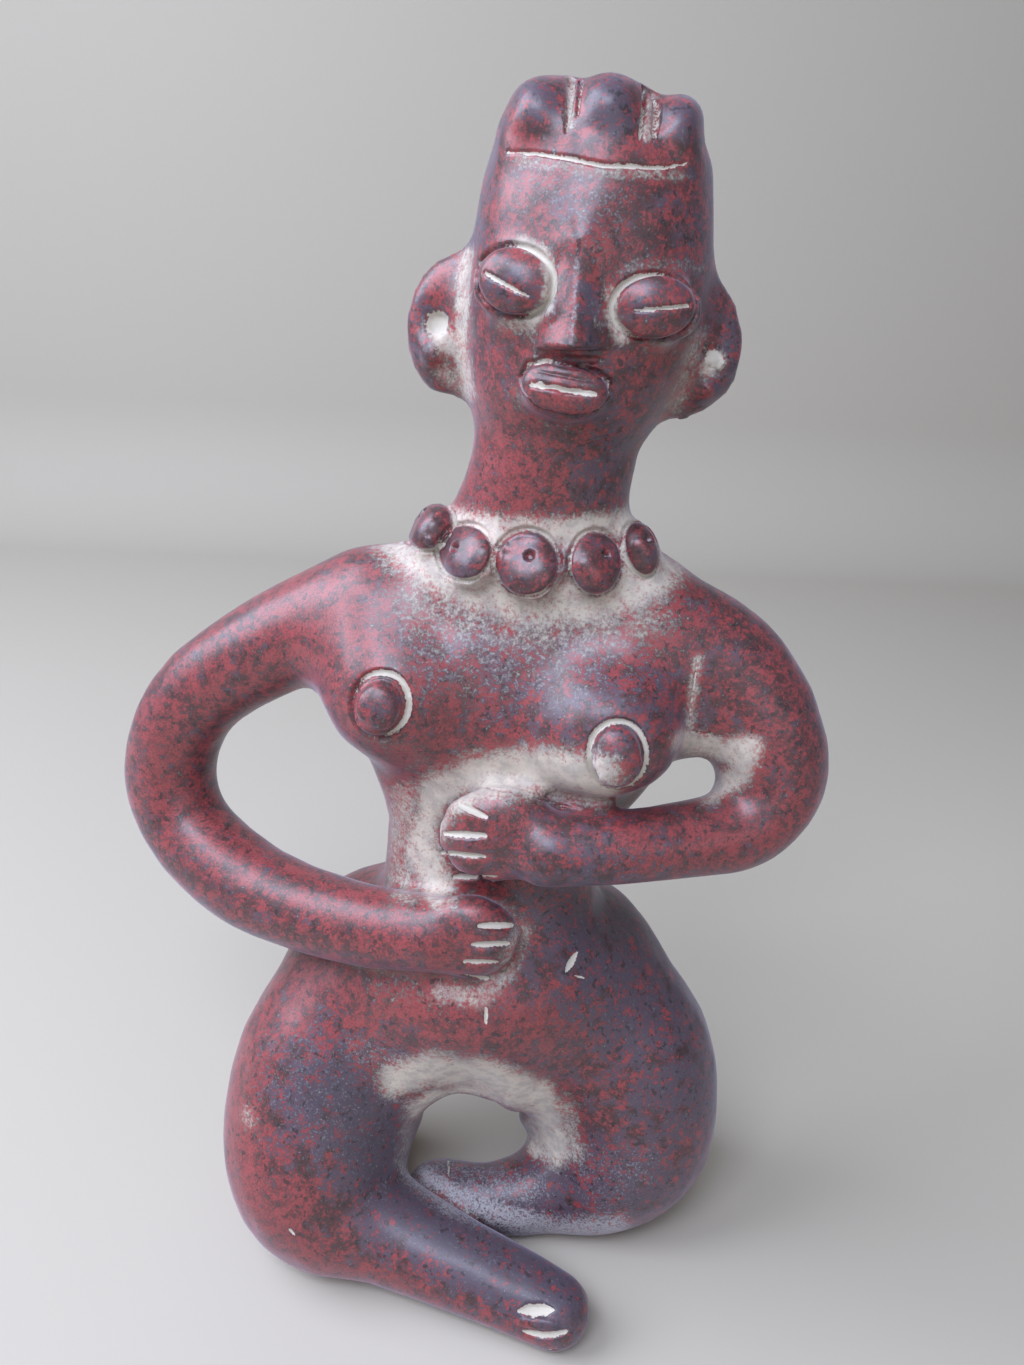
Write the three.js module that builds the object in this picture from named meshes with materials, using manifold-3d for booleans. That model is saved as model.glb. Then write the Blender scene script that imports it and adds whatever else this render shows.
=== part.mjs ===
// A burnished clay figurine of a woman sitting on her folded legs, hands on her belly.
// The front looks along -Y, +Z is up, and the origin is on the ground in the middle of the figure.
import * as THREE from 'three';
import { mergeVertices } from 'three/addons/utils/BufferGeometryUtils.js';
import Module from 'manifold-3d';

const wasm = await Module();
wasm.setup();

// Driving dimensions, in millimetres
const HEIGHT = 300;
const BEAD_DIAMETER = 14.5;
const BEAD_THICKNESS = 6.5;
const BEAD_HOLE = 2.6;
const NIPPLE_DIAMETER = 9.6;
const NIPPLE_RING_WIDTH = 1.8;
const FINGER_LINE_WIDTH = 1.9;
const FACE_LINE_WIDTH = 1.5;
const LINE_DEPTH = 1.3;

// Pose and proportions are given in three-hundredths of the height
const UNIT = HEIGHT / 300;

// How finely the clay skin is worked out before it is reduced, in those units
const GRID_STEP = 2;
const SKIN_TRIANGLES = 5700;
const EDGE_WEIGHT = 0.002;

// Head: leans to the figure's left shoulder, and turns a little to its right
const HEAD_PIVOT = new THREE.Vector3(21, 1, 222);
const HEAD_LEAN = THREE.MathUtils.degToRad(6);
const HEAD_TURN = THREE.MathUtils.degToRad(4);
const HEAD_FRAME = new THREE.Matrix4()
  .makeRotationFromEuler(new THREE.Euler(0, HEAD_LEAN, -HEAD_TURN, 'ZYX'))
  .setPosition(HEAD_PIVOT);
const TO_HEAD = HEAD_FRAME.clone().invert();

// Clay colour
const clay = new THREE.MeshStandardMaterial({ color: 0x7c3a34, roughness: 0.45, metalness: 0 });

function length3(x, y, z) {
  return Math.sqrt(x * x + y * y + z * z);
}

// Joins two distances with a rounded valley of the given width
function blend(a, b, width) {
  const near = Math.max(width - Math.abs(a - b), 0) / width;
  return Math.min(a, b) - near * near * width * 0.25;
}

function egg(x, y, z, [cx, cy, cz], [rx, ry, rz]) {
  const dx = x - cx;
  const dy = y - cy;
  const dz = z - cz;
  const scaled = length3(dx / rx, dy / ry, dz / rz);
  const slope = length3(dx / (rx * rx), dy / (ry * ry), dz / (rz * rz));
  return slope === 0 ? -Math.min(rx, ry, rz) : (scaled * (scaled - 1)) / slope;
}

// A limb is a row of stations: x, y, z, radius, and the width of its blend into the body
function makeLimb(stations, stepsPerStation = 4) {
  const line = new THREE.CatmullRomCurve3(stations.map(([x, y, z]) => new THREE.Vector3(x, y, z)));
  const girth = new THREE.CatmullRomCurve3(stations.map(([, , , r, k]) => new THREE.Vector3(r, k, 0)));
  const count = (stations.length - 1) * stepsPerStation;
  const links = [];
  for (let i = 0; i <= count; i += 1) {
    const point = line.getPoint(i / count);
    const size = girth.getPoint(i / count);
    links.push({ x: point.x, y: point.y, z: point.z, radius: size.x, blend: size.y });
  }
  const ball = new THREE.Sphere().setFromPoints(links.map((p) => new THREE.Vector3(p.x, p.y, p.z)));
  const reach = ball.radius + Math.max(...links.map((p) => p.radius + p.blend));
  return { links, middle: ball.center, reach };
}

// Distance to a limb and the blend width there; a limb too far off to change the limit isn't worked out
function limbDistance({ links, middle, reach }, x, y, z, limit) {
  let best = Infinity;
  let width = 1;
  if (length3(x - middle.x, y - middle.y, z - middle.z) > limit + reach) return [best, width];
  for (let i = 1; i < links.length; i += 1) {
    const a = links[i - 1];
    const b = links[i];
    const ux = b.x - a.x;
    const uy = b.y - a.y;
    const uz = b.z - a.z;
    const along = ((x - a.x) * ux + (y - a.y) * uy + (z - a.z) * uz) / (ux * ux + uy * uy + uz * uz);
    const t = Math.min(Math.max(along, 0), 1);
    const radius = a.radius + (b.radius - a.radius) * t;
    const distance = length3(x - a.x - ux * t, y - a.y - uy * t, z - a.z - uz * t) - radius;
    if (distance < best) {
      best = distance;
      width = a.blend + (b.blend - a.blend) * t;
    }
  }
  return [best, width];
}

// A stack is a row of level sections: height, centre x, centre y, half width, half depth
function makeStack(sections, round) {
  const low = sections[0][0];
  const high = sections[sections.length - 1][0];
  const centres = new THREE.CatmullRomCurve3(sections.map(([z, x, y]) => new THREE.Vector3(x, y, z)));
  const halves = new THREE.CatmullRomCurve3(sections.map(([z, , , a, b]) => new THREE.Vector3(a, b, z)));
  const fine = centres.getPoints(sections.length * 12).map((centre, i, all) => {
    const half = halves.getPoint(i / (all.length - 1));
    return { z: centre.z, x: centre.x, y: centre.y, a: half.x - round, b: half.y - round };
  });
  const rows = [];
  let next = 0;
  for (let z = low; z <= high; z += 1) {
    while (next < fine.length - 1 && fine[next].z < z) next += 1;
    rows.push(fine[next]);
  }
  return { low, high, round, rows };
}

function stackDistance({ low, high, round, rows }, x, y, z) {
  const level = Math.min(Math.max(z - low, 0), rows.length - 1.001);
  const below = rows[Math.floor(level)];
  const above = rows[Math.floor(level) + 1];
  const t = level - Math.floor(level);
  const a = below.a + (above.a - below.a) * t;
  const b = below.b + (above.b - below.b) * t;
  const dx = x - (below.x + (above.x - below.x) * t);
  const dy = y - (below.y + (above.y - below.y) * t);
  const scaled = length3(dx / a, dy / b, 0);
  const slope = length3(dx / (a * a), dy / (b * b), 0);
  const side = slope === 0 ? -Math.min(a, b) : (scaled * (scaled - 1)) / slope;
  const end = Math.abs(z - (low + high) / 2) - (high - low) / 2 + round;
  return Math.min(Math.max(side, end), 0) + length3(Math.max(side, 0), Math.max(end, 0), 0) - round;
}

// Trunk from the seat to the neck
const trunk = makeStack([
  [48, 7.5, -3, 22, 17],
  [60, 7, -3, 33, 23],
  [74, 6.5, -3, 40, 27],
  [90, 8, -3, 37, 26],
  [104, 10, -1, 29.5, 22],
  [117, 10.5, 0, 28.5, 19],
  [130, 13, 0, 30.5, 19],
  [146, 15.5, 0, 38, 21],
  [160, 15, 0, 45, 23],
  [176, 14, 2, 46, 22],
  [190, 15.5, 3, 36, 18.5],
  [199, 17, 3, 29, 18],
  [206, 18.5, 2.5, 23.5, 17.3],
  [213, 19.5, 2, 20.5, 17],
  [224, 21.5, 1, 19, 17],
  [240, 23, 1, 19, 17],
], 3);

// Rounded masses that swell the trunk: centre, radii, and the width of the blend
const masses = [
  { name: 'right breast', centre: [-14, -12, 168], radii: [17, 15, 16], width: 9 },
  { name: 'left breast', centre: [37.4, -19, 163.4], radii: [17, 15, 16], width: 9 },
  { name: 'belly', centre: [9, -10, 84], radii: [30, 24, 20], width: 10 },
  { name: 'right buttock', centre: [-20, 12, 76], radii: [24, 19, 24], width: 10 },
  { name: 'left buttock', centre: [33, 12, 76], radii: [24, 19, 24], width: 10 },
];

// Legs: thigh, knee and shin, each shin laid across the front
const legs = [
  makeLimb([
    [-6, 3, 82, 20, 16],
    [-21.5, 0, 71, 22, 14],
    [-33.5, -7, 52, 26, 12],
    [-36.6, -17, 30, 26, 10],
    [-33.2, -25.5, 19, 20.2, 6],
    [-16, -32, 14, 14.4, 4],
    [2, -39, 11.5, 12, 2],
    [20, -46, 9.8, 10.5, 1.5],
    [32, -51, 8.3, 9.5, 1.5],
  ]),
  makeLimb([
    [20, 3, 82, 20, 16],
    [36, 1, 72, 22, 14],
    [50.5, -2, 54, 25.5, 12],
    [54, -7, 31, 23.8, 10],
    [46, -12, 17.5, 17.4, 6],
    [30, -15, 11.5, 12, 3],
    [14, -17, 8.8, 9.8, 2],
    [-1, -15, 8.6, 9, 1.5],
  ]),
];


// Arms, from the shoulder round the elbow to the wrist
const arms = [
  makeLimb([
    [-22, 3, 184, 15, 14],
    [-48, 7, 171, 13, 9],
    [-70, 9, 153.5, 12, 4],
    [-77.7, 9, 133, 12, 3],
    [-73.5, 5, 119, 11.6, 3],
    [-57, -5, 109, 11.8, 3],
    [-40, -13, 106, 11, 3],
    [-19, -21, 106.2, 10.3, 2.5],
    [-3, -26, 108.5, 9.5, 2],
  ]),
  makeLimb([
    [48, 0, 184, 14.5, 14],
    [65, -3, 175.5, 14.5, 12],
    [75.5, -7, 162, 14.5, 10],
    [79.5, -10, 147, 13.4, 4],
    [72.5, -16, 137.5, 10.8, 3],
    [57, -22, 136, 9.2, 2.5],
    [40, -27, 136, 8.9, 2],
    [24, -29, 136, 9, 2],
  ]),
];

// Rounded masses laid on once the limbs are there
const additions = [
  { name: 'left armpit', centre: [57, -6, 162], radii: [9, 7, 9], width: 8 },
  { name: 'right calf', centre: [-35, -1, 23], radii: [22, 22, 25], width: 14 },
  { name: 'left calf', centre: [50.5, 3, 23], radii: [22, 22, 25], width: 14 },
  { name: 'right hand', centre: [6, -28.5, 110], radii: [12.5, 6.5, 11.5], width: 2 },
  { name: 'left hand', centre: [12.5, -27.5, 138.8], radii: [14.5, 6.5, 12.6], width: 2 },
];

// Head in its own frame: origin at the top of the neck, front along -Y
const skull = makeStack([
  [6, 1, -1, 14, 14],
  [14, 1, -2, 20, 19.5],
  [24, 1.5, -1, 24, 23.5],
  [40, 2, 0, 26, 25],
  [54, 2, 1, 24.5, 24.5],
  [64, 1.5, 2, 22.6, 22.5],
  [71, 1, 2, 21.5, 20.5],
], 5);
const hairLobes = [-1, 0, 1].map((side) => makeLimb([
  [1 + side * 12.6, -12 + 3.6 * side * side, 61, 7.6, 5],
  [1 + side * 13.2, -11 + 3 * side * side, 68 - 1.2 * side * side, 8, 1.5],
  [1 + side * 13.6, -5, 69.6 - 1.6 * side * side, 8.4, 1.5],
  [1 + side * 13.6, 4, 69.6 - 1.6 * side * side, 8.4, 1.5],
  [1 + side * 13.4, 12, 67 - 1.6 * side * side, 7.6, 1.5],
  [1 + side * 12, 14, 57, 6, 3],
]));
const nose = makeLimb([
  [0, -21.5, 50, 2.8, 6],
  [0, -26.5, 41, 2.9, 4],
  [0, -31, 32, 3.6, 3],
]);
const nostrils = { centre: [0, -26.5, 29.5], radii: [5.4, 5.5, 3.4] };
const ears = [
  { centre: [-26.5, 3, 25.7], radii: [11, 5.5, 15.5], pit: [-30.5, 28.5], nub: [-30.5, 21] },
  { centre: [27.5, 3, 28], radii: [11, 5.5, 15.5], pit: [31, 27], nub: [32, 20.5] },
];

const HEAD_MIDDLE = new THREE.Vector3(2, 0, 38).applyMatrix4(HEAD_FRAME);
const HEAD_REACH = 62;
const NECK_BLEND = 8;

function headDistance(x, y, z, limit) {
  const away = length3(x - HEAD_MIDDLE.x, y - HEAD_MIDDLE.y, z - HEAD_MIDDLE.z) - HEAD_REACH;
  if (away > limit + NECK_BLEND) return away;
  const p = new THREE.Vector3(x, y, z).applyMatrix4(TO_HEAD);
  let d = stackDistance(skull, p.x, p.y, p.z);
  for (const lobe of hairLobes) d = blend(d, limbDistance(lobe, p.x, p.y, p.z, d)[0], 2);
  const [ridge, valley] = limbDistance(nose, p.x, p.y, p.z, d);
  d = blend(d, ridge, valley);
  d = blend(d, egg(p.x, p.y, p.z, nostrils.centre, nostrils.radii), 2);
  for (const ear of ears) d = blend(d, egg(p.x, p.y, p.z, ear.centre, ear.radii), 7);
  return d;
}

// Signed distance to the clay, negative inside
function clayDistance(x, y, z) {
  let d = stackDistance(trunk, x, y, z);
  for (const { centre, radii, width } of masses) d = blend(d, egg(x, y, z, centre, radii), width);
  for (const limb of [...legs, ...arms]) {
    const [distance, width] = limbDistance(limb, x, y, z, d);
    d = blend(d, distance, width);
  }
  for (const { centre, radii, width } of additions) d = blend(d, egg(x, y, z, centre, radii), width);
  return blend(d, headDistance(x, y, z, d), NECK_BLEND);
}

// Samples the clay on a grid in blocks of cells, exactly near its surface and roughly far from it
const BLOCK = 4;
const BLOCK_REACH = 1.6;
function sampleGrid(box, step) {
  const size = box.getSize(new THREE.Vector3());
  const counts = [size.x, size.y, size.z].map((side) => Math.ceil(side / step / BLOCK) * BLOCK + 1);
  const [nx, ny, nz] = counts;
  const values = new Float32Array(nx * ny * nz).fill(NaN);
  const index = (i, j, k) => i + nx * (j + ny * k);
  const place = (i, j, k) => [box.min.x + i * step, box.min.y + j * step, box.min.z + k * step];
  const reach = BLOCK * step * BLOCK_REACH;
  for (let k = 0; k + BLOCK < nz; k += BLOCK) {
    for (let j = 0; j + BLOCK < ny; j += BLOCK) {
      for (let i = 0; i + BLOCK < nx; i += BLOCK) {
        const middle = clayDistance(...place(i + BLOCK / 2, j + BLOCK / 2, k + BLOCK / 2));
        const far = Math.abs(middle) > reach;
        for (let n = 0; n < (BLOCK + 1) ** 3; n += 1) {
          const a = i + (n % (BLOCK + 1));
          const b = j + (Math.floor(n / (BLOCK + 1)) % (BLOCK + 1));
          const c = k + Math.floor(n / (BLOCK + 1) ** 2);
          const at = index(a, b, c);
          const rough = Number.isNaN(values[at]) || Math.abs(values[at]) > reach;
          if (far && Number.isNaN(values[at])) values[at] = middle;
          if (!far && rough) values[at] = clayDistance(...place(a, b, c));
        }
      }
    }
  }
  return { nx, ny, nz, values, index, place };
}

// A cell of the grid is cut into six tetrahedra of the same handedness
const CORNERS = [[0, 0, 0], [1, 0, 0], [0, 1, 0], [1, 1, 0], [0, 0, 1], [1, 0, 1], [0, 1, 1], [1, 1, 1]];
const TETRAHEDRA = [[0, 1, 3, 7], [0, 3, 2, 7], [0, 2, 6, 7], [0, 6, 4, 7], [0, 4, 5, 7], [0, 5, 1, 7]];

// Puts the inside corners first, and keeps the handedness
function inwardFirst(corners, cell) {
  const order = [0, 1, 2, 3].filter((at) => cell[corners[at]].value < 0);
  const count = order.length;
  order.push(...[0, 1, 2, 3].filter((at) => cell[corners[at]].value >= 0));
  let swaps = 0;
  for (let a = 0; a < 4; a += 1) {
    for (let b = a + 1; b < 4; b += 1) if (order[a] > order[b]) swaps += 1;
  }
  const [m, n] = count === 3 ? [0, 1] : [2, 3];
  if (swaps % 2 === 1) [order[m], order[n]] = [order[n], order[m]];
  return order.map((at) => cell[corners[at]]);
}

// Triangles of the surface where the sampled distance is zero, kept a little clear of the grid's own points
const CLEARANCE = 0.04;
function contour({ nx, ny, nz, values, index, place }, step) {
  const points = [];
  const triangles = [];
  const known = new Map();
  const total = nx * ny * nz;
  const cut = (p, q) => {
    const [a, b] = p.at < q.at ? [p, q] : [q, p];
    const key = a.at * total + b.at;
    let found = known.get(key);
    if (found === undefined) {
      found = points.length / 3;
      const t = Math.min(Math.max(a.value / (a.value - b.value), CLEARANCE), 1 - CLEARANCE);
      const from = place(...a.cell);
      const to = place(...b.cell);
      points.push(from[0] + (to[0] - from[0]) * t, from[1] + (to[1] - from[1]) * t, from[2] + (to[2] - from[2]) * t);
      known.set(key, found);
    }
    return found;
  };
  for (let k = 0; k + 1 < nz; k += 1) {
    for (let j = 0; j + 1 < ny; j += 1) {
      for (let i = 0; i + 1 < nx; i += 1) {
        if (Math.abs(values[index(i, j, k)]) > step * 3) continue;
        const cell = CORNERS.map(([a, b, c]) => {
          const at = index(i + a, j + b, k + c);
          return { at, value: values[at], cell: [i + a, j + b, k + c] };
        });
        for (const corners of TETRAHEDRA) {
          const count = corners.filter((c) => cell[c].value < 0).length;
          if (count === 0 || count === 4) continue;
          const [p, q, r, s] = inwardFirst(corners, cell);
          if (count === 1) triangles.push(cut(p, q), cut(p, r), cut(p, s));
          if (count === 3) triangles.push(cut(s, p), cut(s, q), cut(s, r));
          if (count === 2) {
            const ring = [cut(p, r), cut(p, s), cut(q, s), cut(q, r)];
            triangles.push(ring[0], ring[1], ring[2], ring[0], ring[2], ring[3]);
          }
        }
      }
    }
  }
  return { points, triangles };
}

// A sum of squared distances to planes is ten numbers, the upper half of a symmetric 4 x 4 matrix
const QUADRIC = 10;

// Twice the area below which a triangle has no direction worth keeping
const SLIVER = 1e-5;

function quadricError(q, x, y, z) {
  return q[0] * x * x + 2 * q[1] * x * y + 2 * q[2] * x * z + 2 * q[3] * x + q[4] * y * y
    + 2 * q[5] * y * z + 2 * q[6] * y + q[7] * z * z + 2 * q[8] * z + q[9];
}

// The point nearest to all the planes, or the middle where they don't settle one near it
function bestPoint(q, middle, span) {
  const a = q[4] * q[7] - q[5] * q[5];
  const b = q[2] * q[5] - q[1] * q[7];
  const c = q[1] * q[5] - q[2] * q[4];
  const det = q[0] * a + q[1] * b + q[2] * c;
  const size = Math.max(q[0], q[4], q[7]);
  if (Math.abs(det) < 1e-4 * size ** 3) return middle;
  const d = q[0] * q[7] - q[2] * q[2];
  const e = q[1] * q[2] - q[0] * q[5];
  const f = q[0] * q[4] - q[1] * q[1];
  const at = [
    -(a * q[3] + b * q[6] + c * q[8]) / det,
    -(b * q[3] + d * q[6] + e * q[8]) / det,
    -(c * q[3] + e * q[6] + f * q[8]) / det,
  ];
  const drift = length3(at[0] - middle[0], at[1] - middle[1], at[2] - middle[2]);
  return drift < span ? at : middle;
}

// Edges waiting to be merged, the cheapest on top
class EdgeHeap {
  constructor() {
    this.items = [];
  }

  push(item) {
    const { items } = this;
    let i = items.length;
    items.push(item);
    while (i > 0) {
      const parent = (i - 1) >> 1;
      if (items[parent].cost <= item.cost) break;
      items[i] = items[parent];
      i = parent;
    }
    items[i] = item;
  }

  pop() {
    const { items } = this;
    const top = items[0];
    const item = items.pop();
    const count = items.length;
    let i = 0;
    while (2 * i + 1 < count) {
      let child = 2 * i + 1;
      if (child + 1 < count && items[child + 1].cost < items[child].cost) child += 1;
      if (items[child].cost >= item.cost) break;
      items[i] = items[child];
      i = child;
    }
    if (count > 0) items[i] = item;
    return top;
  }
}

// Merges edges, the flattest first and none over the longest, until about the wanted number of triangles is left
function reduce({ points, triangles }, wanted, longest = Infinity) {
  const at = Float64Array.from(points);
  const corner = Int32Array.from(triangles);
  const count = at.length / 3;
  const quadrics = new Float64Array(count * QUADRIC);
  const facesOf = Array.from({ length: count }, () => []);
  const stamp = new Int32Array(count);
  const normal = [0, 0, 0];
  const measure = (f, moved, x, y, z) => {
    const p = [];
    for (let n = 0; n < 3; n += 1) {
      const v = corner[3 * f + n];
      if (v === moved) p.push(x, y, z);
      else p.push(at[3 * v], at[3 * v + 1], at[3 * v + 2]);
    }
    const [ax, ay, az] = [p[3] - p[0], p[4] - p[1], p[5] - p[2]];
    const [bx, by, bz] = [p[6] - p[0], p[7] - p[1], p[8] - p[2]];
    normal[0] = ay * bz - az * by;
    normal[1] = az * bx - ax * bz;
    normal[2] = ax * by - ay * bx;
    return length3(...normal);
  };
  for (let f = 0; f < corner.length / 3; f += 1) {
    const area = measure(f, -1);
    const first = 3 * corner[3 * f];
    const [nx, ny, nz] = normal.map((value) => value / (area || 1));
    const plane = [nx, ny, nz, -(nx * at[first] + ny * at[first + 1] + nz * at[first + 2])];
    for (let n = 0; n < 3; n += 1) {
      const v = corner[3 * f + n];
      facesOf[v].push(f);
      let slot = v * QUADRIC;
      for (let i = 0; i < 4; i += 1) {
        for (let j = i; j < 4; j += 1) {
          quadrics[slot] += plane[i] * plane[j] * area;
          slot += 1;
        }
      }
    }
  }
  const neighbours = (v) => {
    const found = [];
    for (const f of facesOf[v]) {
      for (let n = 0; n < 3; n += 1) {
        const w = corner[3 * f + n];
        if (w !== v && !found.includes(w)) found.push(w);
      }
    }
    return found;
  };
  const heap = new EdgeHeap();
  const sum = new Float64Array(QUADRIC);
  const settle = (v, w) => {
    for (let i = 0; i < QUADRIC; i += 1) sum[i] = quadrics[v * QUADRIC + i] + quadrics[w * QUADRIC + i];
    const [dx, dy, dz] = [0, 1, 2].map((axis) => at[3 * v + axis] - at[3 * w + axis]);
    const span = length3(dx, dy, dz);
    const middle = [0, 1, 2].map((axis) => (at[3 * v + axis] + at[3 * w + axis]) / 2);
    const place = bestPoint(sum, middle, span);
    return { place, span, cost: Math.max(quadricError(sum, ...place), 0) + span * span * EDGE_WEIGHT };
  };
  const offer = (v, w) => {
    const { span, cost } = settle(v, w);
    if (span <= longest) heap.push({ cost, v, w, stamp: stamp[v] + stamp[w] });
  };
  const flips = (v, w, place) => facesOf[v].some((f) => {
    if (corner[3 * f] === w || corner[3 * f + 1] === w || corner[3 * f + 2] === w) return false;
    const before = measure(f, -1);
    if (before < SLIVER) return false;
    const [nx, ny, nz] = normal;
    const after = measure(f, v, ...place);
    return nx * normal[0] + ny * normal[1] + nz * normal[2] <= 0.2 * before * after;
  });
  for (let v = 0; v < count; v += 1) for (const w of neighbours(v)) if (v < w) offer(v, w);
  let left = corner.length / 3;
  while (left > wanted && heap.items.length > 0) {
    const { v, w, stamp: offered } = heap.pop();
    if (stamp[v] < 0 || stamp[w] < 0 || offered !== stamp[v] + stamp[w]) continue;
    const around = neighbours(w);
    const { place } = settle(v, w);
    if (neighbours(v).filter((u) => around.includes(u)).length !== 2) continue;
    if (flips(v, w, place) || flips(w, v, place)) continue;
    for (const f of facesOf[w]) {
      const corners = [corner[3 * f], corner[3 * f + 1], corner[3 * f + 2]];
      if (corners.includes(v)) {
        for (const u of corners) if (u !== w) facesOf[u].splice(facesOf[u].indexOf(f), 1);
        corner[3 * f] = -1;
        left -= 1;
      } else {
        corner[3 * f + corners.indexOf(w)] = v;
        facesOf[v].push(f);
      }
    }
    at.set(place, 3 * v);
    for (let i = 0; i < QUADRIC; i += 1) quadrics[v * QUADRIC + i] += quadrics[w * QUADRIC + i];
    stamp[w] = -1;
    stamp[v] += 1;
    for (const u of neighbours(v)) offer(v, u);
  }
  const number = new Map();
  const kept = { points: [], triangles: [] };
  for (let i = 0; i < corner.length; i += 1) {
    if (corner[i - (i % 3)] < 0) continue;
    const v = corner[i];
    if (!number.has(v)) {
      number.set(v, number.size);
      kept.points.push(at[3 * v], at[3 * v + 1], at[3 * v + 2]);
    }
    kept.triangles.push(number.get(v));
  }
  return kept;
}

function toSolid(vertProperties, triVerts) {
  return new wasm.Manifold(new wasm.Mesh({
    numProp: 3,
    vertProperties: Float32Array.from(vertProperties),
    triVerts: Uint32Array.from(triVerts),
  }));
}

// A closed geometry as a solid, moved by a matrix
function solidOf(geometry, matrix) {
  const bare = new THREE.BufferGeometry();
  bare.setAttribute('position', geometry.attributes.position.clone());
  if (geometry.index) bare.setIndex(geometry.index.clone());
  const merged = mergeVertices(bare.applyMatrix4(matrix), 1e-4);
  return toSolid(merged.attributes.position.array, merged.index.array);
}

const skinBox = new THREE.Box3(new THREE.Vector3(-96.3, -70.3, -4.7), new THREE.Vector3(102, 42, 308));
const skin = reduce(contour(sampleGrid(skinBox, GRID_STEP), GRID_STEP), SKIN_TRIANGLES);
let figure = toSolid(skin.points, skin.triangles);

// Where a straight look from a point meets the clay, and which way the clay faces there
function meetClay(from, direction) {
  const point = from.clone();
  for (let i = 0; i < 200; i += 1) {
    const distance = clayDistance(point.x, point.y, point.z);
    if (distance < 0.01) break;
    point.addScaledVector(direction, distance * 0.7);
  }
  const slope = (axis) => {
    const ahead = point.clone().addScaledVector(axis, 0.5);
    const behind = point.clone().addScaledVector(axis, -0.5);
    return clayDistance(ahead.x, ahead.y, ahead.z) - clayDistance(behind.x, behind.y, behind.z);
  };
  const [x, y, z] = [new THREE.Vector3(1, 0, 0), new THREE.Vector3(0, 1, 0), new THREE.Vector3(0, 0, 1)];
  return { point, normal: new THREE.Vector3(slope(x), slope(y), slope(z)).normalize() };
}

const BACKWARD = new THREE.Vector3(0, 1, 0);
const FRONT = -110;

// The clay seen from straight in front of the body, or of the face
function bodyFront(x, z) {
  return meetClay(new THREE.Vector3(x, FRONT, z), BACKWARD);
}

function faceFront(x, z) {
  const from = new THREE.Vector3(x, -60, z).applyMatrix4(HEAD_FRAME);
  return meetClay(from, BACKWARD.clone().transformDirection(HEAD_FRAME));
}

// A frame on the clay: Z stands out of the surface, X runs along the given direction
function surfaceFrame({ point, normal }, along, sink = 0) {
  const x = along.clone().addScaledVector(normal, -along.dot(normal)).normalize();
  const y = normal.clone().cross(x);
  return new THREE.Matrix4().makeBasis(x, y, normal).setPosition(point.clone().addScaledVector(normal, -sink));
}

const join = (solid) => { figure = figure.add(solid); };
const carve = (solid) => { figure = figure.subtract(solid); };

// A round-bottomed groove, open to the outside, pressed into the clay from one point to another
const GROOVE_RISE = 3;
function carveLine(from, to, width, depth = LINE_DEPTH / UNIT) {
  const radius = width / UNIT / 2;
  const run = to.point.clone().sub(from.point);
  const normal = from.normal.clone().add(to.normal).normalize();
  const middle = { point: from.point.clone().add(to.point).multiplyScalar(0.5), normal };
  const groove = new THREE.CapsuleGeometry(radius, run.length(), 2, 6);
  groove.rotateZ(Math.PI / 2);
  groove.scale(1, 1, GROOVE_RISE);
  carve(solidOf(groove, surfaceFrame(middle, run, depth - radius * GROOVE_RISE)));
}

// A pressed-on pellet, part of a ball flattened against the clay
function joinPellet(spot, along, [rx, ry, rz], segments) {
  const ball = new THREE.SphereGeometry(1, segments, segments / 2);
  ball.rotateX(Math.PI / 2);
  ball.scale(rx, ry, rz);
  join(solidOf(ball, surfaceFrame(spot, along)));
}

const ACROSS = new THREE.Vector3(1, 0, 0);
const faceAcross = ACROSS.clone().transformDirection(HEAD_FRAME);
const faceForward = BACKWARD.clone().negate().transformDirection(HEAD_FRAME);

// The way along the clay at a spot, turned by an angle as seen from outside
function alongClay(spot, across, angle = 0) {
  const flat = across.clone().addScaledVector(spot.normal, -across.dot(spot.normal)).normalize();
  return flat.applyAxisAngle(spot.normal, THREE.MathUtils.degToRad(angle));
}

// A straight slit in a pellet that stands out of the clay by its height
function carveSlit(spot, across, angle, half, height, width) {
  const along = alongClay(spot, across, angle);
  const end = (side) => ({
    point: spot.point.clone().addScaledVector(along, side * half).addScaledVector(spot.normal, height),
    normal: spot.normal,
  });
  carveLine(end(-1), end(1), width);
}

// Swollen coffee-bean eyes, each split by a slit
const EYE = { apart: 14.7, shift: 2.4, height: 37.2, half: [9.6, 7.2, 4.2], slit: 5.2, turn: [-18, 4], facing: 0.5 };
[-1, 1].forEach((side, i) => {
  const spot = faceFront(EYE.shift + side * EYE.apart, EYE.height);
  spot.normal.lerp(faceForward, EYE.facing).normalize();
  joinPellet(spot, faceAcross, EYE.half, 14);
  carveSlit(spot, faceAcross, EYE.turn[i], EYE.slit, EYE.half[2] - 0.3, FACE_LINE_WIDTH);
});

// Thick lips round a slit
const MOUTH = { shift: 0.7, height: 18.7, half: [9.2, 6.2, 4], slit: 6.5, turn: -3 };
const lips = faceFront(MOUTH.shift, MOUTH.height);
joinPellet(lips, faceAcross, MOUTH.half, 16);
carveSlit(lips, faceAcross, MOUTH.turn, MOUTH.slit, MOUTH.half[2] - 0.3, FACE_LINE_WIDTH);

// Ears: a pit with a nub under it
const EAR_PIT = 3.4;
const EAR_NUB = 2.8;
for (const { pit, nub } of ears) {
  const hollow = surfaceFrame(faceFront(...pit), faceAcross, -1);
  carve(solidOf(new THREE.SphereGeometry(EAR_PIT, 10, 6), hollow));
  joinPellet(faceFront(...nub), faceAcross, [EAR_NUB, EAR_NUB, EAR_NUB], 10);
}

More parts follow.
